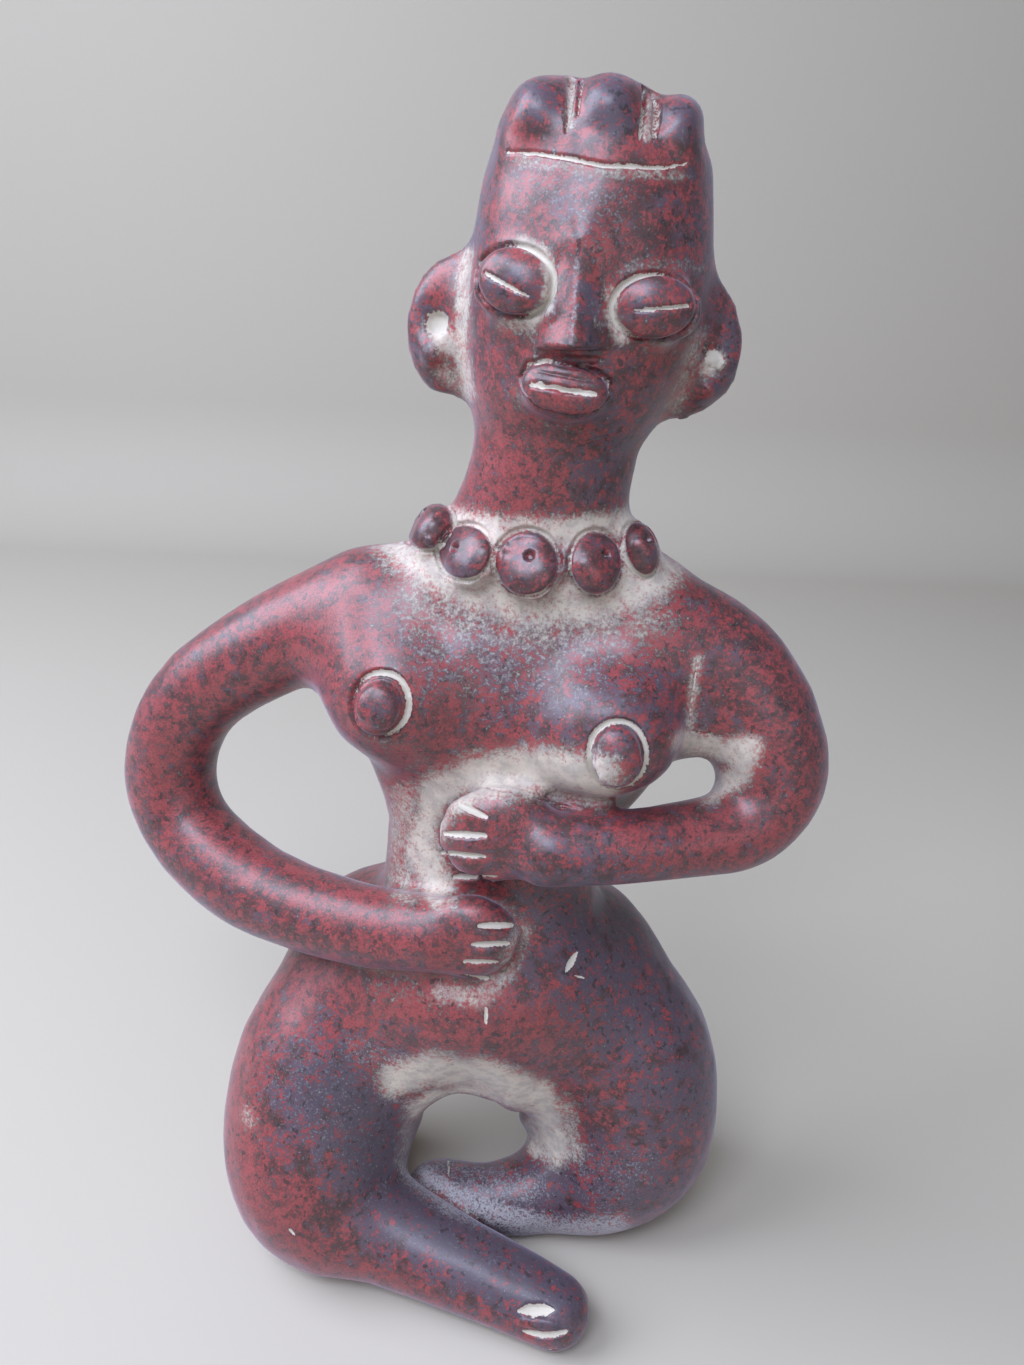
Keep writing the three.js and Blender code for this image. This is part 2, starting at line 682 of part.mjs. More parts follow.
// The hairline, a groove across the forehead
const HAIRLINE = { height: 60, reach: 18, steps: 6 };
for (let i = 0; i < HAIRLINE.steps; i += 1) {
  const ends = [i, i + 1].map((n) => {
    const x = HAIRLINE.reach * ((2 * n) / HAIRLINE.steps - 1);
    return faceFront(1 + x, HAIRLINE.height);
  });
  carveLine(...ends, FACE_LINE_WIDTH, LINE_DEPTH * 0.8 / UNIT);
}

// A necklace of pierced pellets round the front of the neck
const NECKLACE = { centre: [20, 2], height: 200, rise: 5, angles: [-80, -46, -9, 38, 72], upward: 0.55 };
for (const degrees of NECKLACE.angles) {
  const angle = THREE.MathUtils.degToRad(degrees);
  const inward = new THREE.Vector3(-Math.sin(angle), Math.cos(angle), 0);
  const height = NECKLACE.height + NECKLACE.rise * (1 - Math.cos(angle));
  const axis = new THREE.Vector3(...NECKLACE.centre, height);
  const spot = meetClay(axis.addScaledVector(inward, -70), inward);
  spot.normal.set(0, 0, NECKLACE.upward).sub(inward).normalize();
  const sideways = new THREE.Vector3(Math.cos(angle), Math.sin(angle), 0);
  const radius = BEAD_DIAMETER / UNIT / 2;
  const profile = beadProfile(radius, BEAD_THICKNESS / UNIT / 2, BEAD_HOLE / UNIT / 2);
  const bead = new THREE.LatheGeometry(profile, 12);
  bead.rotateX(Math.PI / 2);
  join(solidOf(bead, surfaceFrame(spot, sideways, -BEAD_THICKNESS / UNIT / 5)));
}

// Half section of a bead from its back to its dimpled front
function beadProfile(radius, half, hole) {
  const points = [new THREE.Vector2(0, -half)];
  for (let i = 0; i < 5; i += 1) {
    const angle = Math.PI * ((i + 0.5) / 5 - 0.5);
    points.push(new THREE.Vector2(hole + (radius - hole) * Math.cos(angle), half * Math.sin(angle)));
  }
  points.push(new THREE.Vector2(hole, half * 0.75), new THREE.Vector2(hole * 0.7, 0), new THREE.Vector2(0, 0));
  return points;
}

// Nipples: a knob inside a carved ring
const NIPPLES = [[-16.8, 168.7], [37.6, 163.8]];
for (const [x, z] of NIPPLES) {
  const spot = bodyFront(x, z);
  const radius = NIPPLE_DIAMETER / UNIT / 2;
  const width = NIPPLE_RING_WIDTH / UNIT / 2;
  const reach = radius + width * 1.4;
  const drops = [[-reach, 0], [reach, 0], [0, -reach], [0, reach]].map(([dx, dz]) => (
    spot.point.clone().sub(bodyFront(x + dx, z + dz).point).dot(spot.normal)));
  const drop = drops.reduce((total, value) => total + value / drops.length, 0);
  const ring = new THREE.TorusGeometry(reach, width, 6, 18);
  carve(solidOf(ring, surfaceFrame(spot, ACROSS, drop + LINE_DEPTH / UNIT - width)));
  joinPellet(spot, ACROSS, [radius, radius, radius], 12);
}

// Four lines part the fingers of each hand: x and z of the two ends of each
const FINGER_LINES = [
  [3.2, 149, 9.2, 146.6],
  [0.2, 141.8, 9.3, 141.8],
  [0, 136.8, 9.1, 136.3],
  [2.6, 130.4, 12, 130.7],
  [8.4, 117, 16.2, 117.4],
  [7, 111.9, 15.9, 112.4],
  [5.2, 106.9, 13.2, 106.7],
  [4.6, 103, 11, 102.2],
];
for (const [fromX, fromZ, toX, toZ] of FINGER_LINES) {
  carveLine(bodyFront(fromX, fromZ), bodyFront(toX, toZ), FINGER_LINE_WIDTH);
}

// Toes of the foot in front, and one line on the foot behind
const ABOVE_FEET = 28;
const footTop = (x, y) => meetClay(new THREE.Vector3(x, y, ABOVE_FEET), new THREE.Vector3(0, 0, -1));
for (const y of [-51, -56.5]) {
  carveLine(footTop(27, y + 1), footTop(36, y), FINGER_LINE_WIDTH);
}
carveLine(footTop(3.5, -18), footTop(3.5, -12), FINGER_LINE_WIDTH * 0.7);

// Navel
carveLine(bodyFront(11, 91), bodyFront(11, 86.5), FACE_LINE_WIDTH);

// The clay rests on a flat underside
const ground = new THREE.BoxGeometry(400, 400, 40);
carve(solidOf(ground, new THREE.Matrix4().makeTranslation(0, 0, -20)));

// Edges too short to matter are merged once all the carving is done
const SHORTEST_EDGE = 0.06;
const { vertProperties, triVerts } = figure.getMesh();
const carved = new THREE.BufferGeometry();
carved.setAttribute('position', new THREE.BufferAttribute(Float32Array.from(vertProperties), 3));
carved.setIndex(new THREE.BufferAttribute(Uint32Array.from(triVerts), 1));
const welded = mergeVertices(carved, 1e-5);
const outside = reduce(
  { points: welded.attributes.position.array, triangles: welded.index.array },
  0,
  SHORTEST_EDGE,
);
const geometry = new THREE.BufferGeometry();
geometry.setAttribute('position', new THREE.BufferAttribute(Float32Array.from(outside.points), 3));
geometry.setIndex(outside.triangles);
geometry.computeBoundingBox();
const middle = geometry.boundingBox.getCenter(new THREE.Vector3());
geometry.translate(-middle.x, -middle.y, 0);
geometry.scale(UNIT, UNIT, UNIT);
const figurine = new THREE.Mesh(geometry, clay);
figurine.name = 'figurine';
const group = new THREE.Group();
group.add(figurine);
export default group;
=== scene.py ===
"""Burnished clay figurine of a seated woman, on a pale sweep under soft window light."""
import math

import bpy
import numpy as np
from mathutils import Matrix, Vector
from mathutils.bvhtree import BVHTree


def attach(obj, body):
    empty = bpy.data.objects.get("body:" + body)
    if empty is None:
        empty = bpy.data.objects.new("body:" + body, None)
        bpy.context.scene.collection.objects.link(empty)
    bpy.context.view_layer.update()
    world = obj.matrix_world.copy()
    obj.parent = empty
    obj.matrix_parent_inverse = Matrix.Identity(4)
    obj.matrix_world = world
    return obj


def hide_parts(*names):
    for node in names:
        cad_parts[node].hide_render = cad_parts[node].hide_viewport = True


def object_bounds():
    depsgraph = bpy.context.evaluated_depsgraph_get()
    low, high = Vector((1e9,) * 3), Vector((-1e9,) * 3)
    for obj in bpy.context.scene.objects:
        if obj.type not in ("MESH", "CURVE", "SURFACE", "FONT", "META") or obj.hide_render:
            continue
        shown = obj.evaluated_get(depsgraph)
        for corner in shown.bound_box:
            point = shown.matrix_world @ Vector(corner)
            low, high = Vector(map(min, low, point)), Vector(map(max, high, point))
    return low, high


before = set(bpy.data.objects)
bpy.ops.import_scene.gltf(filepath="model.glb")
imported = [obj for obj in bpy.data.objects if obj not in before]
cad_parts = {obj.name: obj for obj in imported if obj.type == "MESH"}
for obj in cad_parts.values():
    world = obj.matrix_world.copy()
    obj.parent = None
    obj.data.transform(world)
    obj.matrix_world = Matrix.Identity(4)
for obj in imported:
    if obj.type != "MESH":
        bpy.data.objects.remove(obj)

MM = 0.001
cad_low, cad_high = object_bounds()

# The photograph's frame and the camera that took it
PHOTO_WIDTH = 1024
PHOTO_HEIGHT = 1365
FOCAL_PIXELS = 1050
CAMERA_PLACE = Vector((12.05, -229.6, 268)) * MM
CAMERA_DOWN = math.radians(22.6)
CAMERA_ROLL = math.radians(2.35)
SENSOR = 36

# The clay surface: how fine it is, and how far round its carved marks it is refined
SKIN_STEP = 1.6 * MM
COARSE_REACH = 2.7 * MM
FINE_REACH = 1.5 * MM

# Pixels of the photograph between the points of a mark
LINE_PIXELS = 4

# Evening out: each round pulls the points together by one share and back apart by the other
PULL_IN = 0.5
PULL_OUT = 0.52
RELAX_ROUNDS = 30
NUDGE_ROUNDS = 16
MARK_ROUNDS = 4
MARK_REACH = 4 * MM
MARK_LIMIT = 5 * MM
MARK_FADE = (0.7, 1.3)

# Hollows: how far the clay is smoothed to find them, and how deep a full one is
HOLLOW_ROUNDS = 40
HOLLOW_DEPTH = 0.9 * MM

# Levelling of the nose and knobs: its rounds, and where it fades out, as shares of the way to their edge
LEVEL_ROUNDS = 800
NOSE_LEVEL = (0.85, 1.3)
NOSE_START = (0, 0.35)
KNOB_LEVEL = (0.75, 1.1)

# Where sides and pigment fade out, as shares of the way from the middle to the edge
GROOVE_SIDE = (0.3, 1.4)
GROOVE_PIGMENT = (0.7, 1.15)
PIT_SIDE = (0.45, 1.15)
PIT_PIGMENT = (0.75, 1.05)
DOME_CURVE = 0.75
DOME_EDGE = (0.86, 1.06)
BEAD_EDGE = (0.92, 1.05)
SWELLING_EDGE = (0, 1.1)

# How far over the clay a dome or a swelling reaches from its middle
DOME_REACH = (10 * MM, 14 * MM)
SWELLING_REACH = (8 * MM, 18 * MM)

# What the photograph shows of the clay: from which slant on, and how far behind the first thing in sight
SEEN_SLANT = (-0.02, 0.12)
SEEN_GAP = 1.5 * MM
SEEN_ROUNDS = 4

# How painted strokes fade out, as shares of their radius
STROKE_FADE = (0.2, 1.8)

# How much wash the hollows hold, and how much less of it where the strokes are painted
HOLLOW_WASH = 0.6
PAINTED_LESS = 0.6

# The pale sweep, in metres
SWEEP_WIDTH = 6
SWEEP_DEPTH = 3.4
SWEEP_HEIGHT = 2.4
SWEEP_FORWARD = -0.9
SWEEP_ROUND = 0.12
SWEEP_FACES = 12


def camera_turn():
    """The camera's own axes: X to the right, Y up, Z backwards."""
    return Matrix.Rotation(math.pi / 2 - CAMERA_DOWN, 3, "X") @ Matrix.Rotation(CAMERA_ROLL, 3, "Z")


def aim_camera():
    data = bpy.data.cameras.new("camera")
    data.sensor_width = SENSOR
    data.lens = FOCAL_PIXELS / PHOTO_HEIGHT * SENSOR
    data.clip_start = 0.01
    camera = bpy.data.objects.new("camera", data)
    bpy.context.scene.collection.objects.link(camera)
    camera.matrix_world = Matrix.Translation(CAMERA_PLACE) @ camera_turn().to_4x4()
    bpy.context.scene.camera = camera


def sight(x, y):
    """The way that the camera looks through a pixel of the photograph."""
    across = (x - PHOTO_WIDTH / 2) / FOCAL_PIXELS
    up = (PHOTO_HEIGHT / 2 - y) / FOCAL_PIXELS
    return (camera_turn() @ Vector((across, up, -1))).normalized()


def pixels_of(points):
    """Where points of the model show in the photograph."""
    local = (points - np.array(CAMERA_PLACE)) @ np.array(camera_turn())
    across = PHOTO_WIDTH / 2 - FOCAL_PIXELS * local[:, 0] / local[:, 2]
    down = PHOTO_HEIGHT / 2 + FOCAL_PIXELS * local[:, 1] / local[:, 2]
    return np.stack([across, down], 1)


def pick_only(piece):
    bpy.ops.object.select_all(action="DESELECT")
    piece.select_set(True)
    bpy.context.view_layer.objects.active = piece


def points_of(piece):
    points = np.empty(len(piece.data.vertices) * 3)
    piece.data.vertices.foreach_get("co", points)
    return points.reshape(-1, 3)


def move_points(piece, points):
    piece.data.vertices.foreach_set("co", points.ravel())
    piece.data.update()


def normals_of(piece):
    normals = np.empty(len(piece.data.vertices) * 3)
    piece.data.vertices.foreach_get("normal", normals)
    return normals.reshape(-1, 3)


def edges_of(piece):
    edges = np.empty(len(piece.data.edges) * 2, np.int32)
    piece.data.edges.foreach_get("vertices", edges)
    return edges.reshape(-1, 2)


def neighbours_of(edges, count):
    """Each edge both ways, as its near and far points, and how many neighbours each point has."""
    near = np.concatenate([edges[:, 0], edges[:, 1]])
    far = np.concatenate([edges[:, 1], edges[:, 0]])
    return near, far, np.maximum(np.bincount(near, minlength=count), 1)


def neighbour_pull(points, edges):
    """From each point to the middle of its neighbours."""
    near, far, count = neighbours_of(edges, len(points))
    middle = [np.bincount(near, points[far, axis], len(points)) / count for axis in range(3)]
    return np.stack(middle, 1) - points


def relax(piece, rounds, weight=1.0):
    """Evens the surface out without shrinking it."""
    points, edges = points_of(piece), edges_of(piece)
    weight = np.broadcast_to(np.asarray(weight, float), (len(points),))[:, None]
    for _ in range(rounds):
        points += PULL_IN * weight * neighbour_pull(points, edges)
        points -= PULL_OUT * weight * neighbour_pull(points, edges)
    move_points(piece, points)


def smooth_step(low, high, value):
    share = np.clip((value - low) / (high - low), 0, 1)
    return share * share * (3 - 2 * share)


def store(piece, name, values):
    attribute = piece.data.attributes.get(name) or piece.data.attributes.new(name, "FLOAT", "POINT")
    attribute.data.foreach_set("value", values.astype(np.float32))


def stored(piece, name):
    values = np.empty(len(piece.data.vertices), np.float32)
    piece.data.attributes[name].data.foreach_get("value", values)
    return values


def copy_clay():
    """A welded copy of the figure, remeshed into even faces."""
    pick_only(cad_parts["figurine"])
    bpy.ops.object.duplicate()
    skin = bpy.context.view_layer.objects.active
    skin.name = "burnished_figure"
    skin.parent = None
    for key in list(skin.keys()):
        del skin[key]
    bpy.ops.object.mode_set(mode="EDIT")
    bpy.ops.mesh.select_all(action="SELECT")
    bpy.ops.mesh.remove_doubles(threshold=0.001 * MM)
    bpy.ops.object.mode_set(mode="OBJECT")
    remesh = skin.modifiers.new("even faces", "REMESH")
    remesh.mode = "VOXEL"
    remesh.voxel_size = SKIN_STEP
    bpy.ops.object.modifier_apply(modifier=remesh.name)
    bpy.ops.object.shade_smooth()
    return skin


def mark_hollows(skin):
    """Stores where the clay is hollow, where a wash and dust stay."""
    points, edges = points_of(skin), edges_of(skin)
    smooth = points.copy()
    for _ in range(HOLLOW_ROUNDS):
        smooth += PULL_IN * neighbour_pull(smooth, edges)
    rise = np.einsum("ij,ij->i", smooth - points, normals_of(skin))
    store(skin, "hollow", np.clip(rise / HOLLOW_DEPTH, -1, 1))


def surface_of(piece):
    polygons = [tuple(face.vertices) for face in piece.data.polygons]
    return BVHTree.FromPolygons([vertex.co[:] for vertex in piece.data.vertices], polygons)


def mark(path, width, depth, fill=1.0, taper=0.0, narrow=0.0, loop=False):
    """A mark pressed into the clay along pixels of the photograph, with its width and depth in mm.

    It also has how much pale pigment fills it, how far its ends taper and how far it narrows on its way.
    """
    return {
        "path": path,
        "width": width,
        "depth": depth,
        "fill": fill,
        "taper": taper,
        "narrow": narrow,
        "loop": loop,
    }


def ring(centre, half, tilt, width, depth, fill=1.0, strong=0, gain=0.0, steps=40):
    """A groove round an oval. The fill is stronger towards one side, given in degrees."""
    turn = math.radians(tilt)
    path = []
    fills = []
    for i in range(steps):
        angle = math.tau * i / steps
        along, across = half[0] * math.cos(angle), half[1] * math.sin(angle)
        x = centre[0] + along * math.cos(turn) - across * math.sin(turn)
        y = centre[1] + along * math.sin(turn) + across * math.cos(turn)
        path.append((x, y))
        fills.append(fill + gain * math.cos(angle + turn - math.radians(strong)))
    return mark(path, width, depth, fills, loop=True)


# Marks pressed into the clay, along pixels of the photograph, with their width and depth in mm
FINGER_WIDTH = 1.7
FINGER_DEPTH = 1.0
UPPER_HAND = [
    [(460, 805), (486, 817)],
    [(444, 834), (485, 836)],
    [(442, 853), (484, 857)],
    [(454, 877), (496, 877)],
]
LOWER_HAND = [
    [(479, 926), (514, 925)],
    [(473, 945), (509, 944)],
    [(465, 962), (497, 963)],
    [(462, 975), (487, 979)],
]
HAIRLINE = [(507, 152), (543, 154), (569, 158), (601, 165), (632, 166), (663, 168), (686, 164)]
LIP_EDGE = [
    (520, 377), (527, 363), (546, 360), (564, 365), (596, 371), (610, 380),
    (610, 393), (597, 410), (571, 415), (538, 406), (523, 390),
]

MARKS = [mark(path, FINGER_WIDTH, FINGER_DEPTH, taper=0.35) for path in UPPER_HAND + LOWER_HAND]
MARKS += [
    mark(HAIRLINE, 1.0, 0.7, 0.72, taper=0.5),
    mark([(573, 66), (570, 95), (566, 131)], 1.9, 2.4, 0.6, narrow=0.6),
    mark([(581, 72), (581, 90), (577, 115)], 1.2, 1.5, 0.5, narrow=0.4),
    mark([(645, 84), (644, 112), (641, 139)], 1.7, 2.3, 0.6, narrow=0.5),
    mark([(651, 88), (658, 104), (655, 135)], 1.8, 1.8, 0.5, narrow=0.3),
    mark([(706, 134), (708, 148)], 1.5, 1.2, 0.4),
    mark([(488, 274), (506, 284), (529, 296)], 1.0, 0.9, 0.85, taper=0.3, narrow=0.3),
    mark([(635, 310), (686, 306)], 0.8, 0.8, 0.85, taper=0.3),
    mark([(534, 385), (564, 391), (594, 394)], 1.0, 1.2, 0.95, taper=0.4),
    mark([(540, 374), (566, 378), (597, 385)], 0.7, 0.35, 0.15, taper=0.5),
    mark([(541, 357), (572, 361), (601, 360)], 2.2, 1.0, 0.0, taper=0.5),
    ring((515, 281), (40, 36), 22, 1.4, 1.2, 0.42, strong=-25, gain=0.5),
    ring((655, 307), (43, 34), -4, 1.4, 1.2, 0.38, strong=205, gain=0.45),
    mark(LIP_EDGE, 1.2, 1.3, [0.5, 0.6, 0.4, 0.1, 0.3, 0.5, 0.4, 0.1, 0.1, 0.1, 0.2], loop=True),
    ring((380, 705), (29, 33), 10, 1.7, 1.2, 0.62, strong=-30, gain=0.5),
    ring((618, 755), (30, 34), 0, 1.5, 1.2, 0.85, strong=120, gain=0.15),
    mark([(486, 1007), (486, 1024)], 1.1, 0.6, 0.9, taper=0.6),
    mark([(578, 951), (565, 973)], 1.9, 0.5, 1.0, taper=1.0),
    mark([(574, 975), (586, 979)], 0.7, 0.3, 0.9, taper=1.0),
    mark([(519, 1311), (553, 1310)], 3.2, 1.2, 1.0, taper=0.7),
    mark([(524, 1332), (534, 1335), (546, 1337), (558, 1335), (566, 1332)], 2.2, 1.3, 1.0, taper=0.5),
    mark([(522, 1343), (542, 1350), (560, 1350)], 0.9, 0.4, 0.75, taper=0.8),
    mark([(448, 1152), (449, 1176)], 1.0, 0.6, 0.6, taper=0.5),
    mark([(484, 787), (525, 794), (557, 804), (582, 810)], 0.7, 0.6, 0.3),
    mark([(698, 659), (694, 690), (688, 730)], 0.7, 0.5, 0.6, taper=0.6),
    mark([(689, 731), (732, 738)], 0.6, 0.4, 0.5, taper=0.6),
    mark([(288, 1228), (295, 1236)], 0.8, 0.4, 0.9, taper=0.9),
]

# Beads: the oval of each as it shows, and its hole
BEADS = [
    ((429, 525), (22, 25), 30, (426, 515)),
    ((465, 552), (26, 27), 20, (458, 549)),
    ((527, 563), (31, 32), 0, (530, 557)),
    ((596, 563), (25, 31), 0, (603, 556)),
    ((641, 549), (15, 27), -15, (646, 540)),
]
MARKS += [
    ring(centre, (half[0] + 2, half[1] + 2), tilt, 1.3, 1.0, 0.5, strong=100, gain=0.2)
    for centre, half, tilt, _ in BEADS
]

# Knobs, beads and low domes that stand out from the clay: oval in pixels, tilt, and height in mm
KNOBS = [((379, 706), (22, 25), 10, 4.2), ((616, 752), (24, 28), 0, 4.2)]
KNOB_REACH = 6.5 * MM
BEAD_DOMES = [(centre, half, tilt, 1.3) for centre, half, tilt, _ in BEADS]
DOMES = BEAD_DOMES + KNOBS + [
    ((515, 281), (37, 33), 22, 1.5),
    ((655, 307), (40, 31), -4, 1.5),
    ((565, 388), (43, 25), 9, 1.9),
    ((432, 357), (10, 11), 0, 1.4),
    ((724, 368), (9, 11), 0, 1.2),
    ((538, 1323), (22, 6), 5, 0.8),
]

# Soft swellings with no edge: oval in pixels, tilt, and height in mm
SWELLINGS = [
    ((534, 102), (38, 36), -25, 2.0),
    ((610, 98), (38, 36), 0, 2.2),
    ((686, 120), (32, 36), 20, 2.0),
    ((466, 812), (34, 12), 20, 0.7),
    ((466, 845), (30, 11), 5, 0.6),
    ((466, 866), (30, 11), 0, 0.6),
    ((492, 935), (28, 9), 0, 0.6),
    ((488, 953), (28, 9), 0, 0.5),
]

# The sharp crest of the nose: path in pixels, width and height in mm, and the pixel rows where it ends
CRESTS = [
    ([(580, 244), (576, 295), (572, 347)], 14.5, 6.2),
]
CREST_ROUND = 0.9 * MM
NOSE_FOOT = (345, 351)

# Pits from a round stick: pixel, radius, depth, how much pigment. One with a negative depth is a lump
PITS = [(hole, 1.3, 1.5, 0.25) for *_, hole in BEADS]
PITS += [
    ((437, 323), 2.9, 1.8, 0.8),
    ((711, 350), 2.4, 1.5, 0.25),
    ((714, 361), 2.2, -0.5, 0.8),
]

# Where the outline is corrected: pixel, the way it moves there in pixels, and how far around
NUDGES = [
    ((573, 88), (0, -12), 13),
    ((646, 100), (0, -12), 13),
    ((522, 84), (1, 7), 16),
    ((508, 98), (4, 6), 16),
    ((712, 117), (-12, 4), 18),
    ((716, 140), (-6, 0), 16),
    ((490, 175), (-7, 0), 42),
    ((705, 416), (0, -7), 22),
    ((412, 1098), (9, 10), 22),
    ((462, 1090), (0, -8), 20),
    ((536, 1095), (-19, 17), 22),
    ((381, 697), (-1, 8), 18),
]

# Where a pale wash stays on the clay: path and radius in pixels, and strength
WASHES = [
    ([(392, 530), (430, 566), (475, 588), (527, 603), (596, 600), (645, 580), (664, 560)], 30, 0.85),
    ([(430, 600), (527, 625), (640, 612)], 45, 0.5),
    ([(412, 498), (450, 522), (500, 532), (565, 533), (625, 524), (652, 505)], 17, 0.9),
    ([(450, 645), (560, 645), (620, 620)], 55, 0.3),
    ([(440, 795), (475, 780), (540, 770), (600, 780)], 25, 1.0),
    ([(437, 800), (420, 850), (440, 890)], 20, 0.9),
    ([(404, 800), (402, 850), (405, 886)], 22, 0.6),
    ([(372, 738), (420, 765)], 14, 0.3),
    ([(440, 992), (480, 998), (508, 972), (522, 930)], 12, 0.6),
    ([(380, 990), (440, 1000)], 14, 0.3),
    ([(698, 659), (692, 700), (690, 730)], 7, 0.6),
    ([(686, 742), (722, 752), (750, 748), (738, 775), (710, 790)], 15, 0.9),
    ([(394, 1080), (430, 1070), (490, 1076), (540, 1097), (556, 1150)], 18, 1.0),
    ([(416, 1112), (430, 1098), (480, 1090), (528, 1106), (536, 1150)], 9, 0.9),
    ([(413, 1105), (406, 1165)], 13, 0.55),
    ([(560, 1110), (570, 1150)], 18, 0.6),
    ([(466, 252), (463, 300), (460, 345), (468, 395)], 9, 0.75),
    ([(437, 328), (448, 345)], 13, 0.9),
    ([(440, 368), (456, 385)], 11, 0.55),
    ([(716, 360), (708, 368)], 11, 0.8),
    ([(697, 335), (688, 370), (674, 405)], 12, 0.55),
    ([(522, 242), (543, 252), (552, 280), (546, 306), (530, 322)], 8, 0.85),
    ([(504, 324), (530, 326)], 8, 0.6),
    ([(612, 292), (611, 315), (622, 338)], 8, 0.75),
    ([(620, 270), (655, 262), (700, 268)], 8, 0.35),
    ([(645, 346), (675, 346)], 6, 0.4),
    ([(512, 390), (535, 420), (590, 428)], 7, 0.3),
    ([(520, 160), (600, 172), (680, 176)], 7, 0.5),
    ([(570, 80), (570, 125)], 6, 0.6),
    ([(650, 95), (647, 135)], 8, 0.6),
    ([(246, 1112), (250, 1122)], 9, 0.45),
    ([(385, 1074), (392, 1080)], 9, 0.5),
]

# Where the slip is scraped to a cool pale grey, and where the same grey is a painted highlight
SCRAPES_AND_SHEEN = [
    ([(418, 1172), (455, 1200), (505, 1218), (560, 1233), (618, 1228)], 15, 1.0),
    ([(430, 1160), (470, 1178), (530, 1190)], 18, 0.5),
    ([(590, 1172), (640, 1165), (600, 1200)], 22, 0.3),
    # Painted highlight: the sheen on the brow, along the ridge of the nose, on the chest and on the left
    # thigh
    ([(535, 185), (600, 200), (590, 240)], 30, 0.28),
    ([(577, 262), (574, 300), (571, 340)], 4, 0.5),
    ([(430, 640), (500, 665), (570, 650)], 44, 0.22),
    ([(290, 1060), (330, 1120)], 50, 0.2),
    ([(395, 1060), (360, 1050)], 16, 0.4),
]

# Where smoke darkened the slip in the firing, together with painted shade
SMOKE_AND_SHADE = [
    # Smoke clouding with painted shade: the right hip, away from the window, and the lower front of the
    # legs
    ([(590, 920), (650, 1000), (690, 1080)], 75, 0.9),
    ([(330, 1090), (370, 1150), (440, 1220), (540, 1290)], 56, 1.15),
    ([(560, 1180), (640, 1180)], 50, 0.9),
    ([(440, 1160), (520, 1200)], 30, 1.0),
    ([(620, 420), (600, 450), (620, 500)], 30, 0.6),
    ([(700, 200), (704, 330)], 30, 0.4),
    ([(530, 90), (545, 110)], 22, 0.8),
    ([(605, 90), (612, 112)], 24, 0.8),
    ([(680, 110), (690, 130)], 18, 0.7),
    # Painted shade: the right face of the nose, away from the window
    ([(588, 290), (592, 345)], 9, 1.0),
    ([(525, 1322), (560, 1326)], 9, 1.0),
    # Painted shade: darkens the left temple, which the window would light brightly
    ([(486, 120), (470, 180), (468, 235)], 17, 1.1),
    ([(379, 706), (380, 708)], 14, 0.5),
    ([(616, 752), (617, 754)], 15, 0.5),
    ([(500, 275), (540, 300)], 18, 0.5),
    ([(640, 305), (675, 308)], 18, 0.4),
    ([(480, 640), (560, 690), (640, 700)], 60, 0.5),
    ([(650, 1170), (560, 1190)], 45, 0.7),
    ([(540, 900), (530, 970)], 40, 0.4),
    ([(420, 310), (415, 350)], 16, 0.6),
    ([(735, 340), (725, 395)], 20, 0.8),
]
# Where the slip stayed brick red, together with painted light
BLUSH_AND_LIGHT = [
    ([(238, 1050), (236, 1180), (290, 1260), (420, 1300), (520, 1345)], 22, 1.0),
    ([(480, 450), (500, 510)], 45, 0.6),
    ([(620, 850), (740, 850), (800, 800)], 22, 0.6),
    ([(300, 870), (400, 930), (470, 950)], 26, 0.6),
    ([(280, 590), (330, 680), (350, 620)], 40, 0.9),
    ([(150, 720), (170, 800), (250, 850)], 22, 0.6),
    ([(430, 700), (520, 740), (440, 740)], 30, 0.5),
    ([(420, 1010), (540, 1025)], 24, 0.9),
    ([(270, 1000), (350, 1010)], 40, 0.6),
    # Painted light: the lit left face of the nose
    ([(545, 325), (555, 345)], 9, 0.9),
    ([(512, 138), (560, 146), (620, 156), (682, 156)], 12, 0.6),
    ([(505, 200), (515, 235)], 18, 0.4),
    ([(400, 770), (395, 800)], 16, 0.8),
    ([(430, 290), (425, 300)], 16, 0.5),
]


def place_on_clay(path, surface):
    """The points of the clay that show at pixels of the photograph."""
    found = []
    for x, y in path:
        point = surface.ray_cast(CAMERA_PLACE, sight(x, y))[0]
        if point is not None:
            found.append(np.array(point))
    return found


def finer(path, closed, spacing):
    """A pixel path with more points on it, so that it follows the clay."""
    ends = path + path[:1] if closed else path
    fine = []
    for (ax, ay), (bx, by) in zip(ends, ends[1:]):
        count = max(1, round(math.hypot(bx - ax, by - ay) / spacing))
        fine += [(ax + (bx - ax) * i / count, ay + (by - ay) * i / count) for i in range(count)]
    return fine + [ends[-1]]


def reach_of_path(points, line, limit):
    """Distance of points to a line of points, and how far along it the nearest place is."""
    nearest = np.full(len(points), np.inf)
    along = np.zeros(len(points))
    for i, (a, b) in enumerate(zip(line, line[1:])):
        span = b - a
        close = np.all(np.abs(points - (a + b) / 2) < np.abs(span) / 2 + limit, axis=1)
        offset = points[close] - a
        t = np.clip(offset @ span / max(span @ span, 1e-18), 0, 1)
        distance = np.linalg.norm(offset - t[:, None] * span, axis=1)
        at = np.flatnonzero(close)
        better = distance < nearest[at]
        nearest[at[better]] = distance[better]
        along[at[better]] = (i + t[better]) / (len(line) - 1)
    return nearest, along


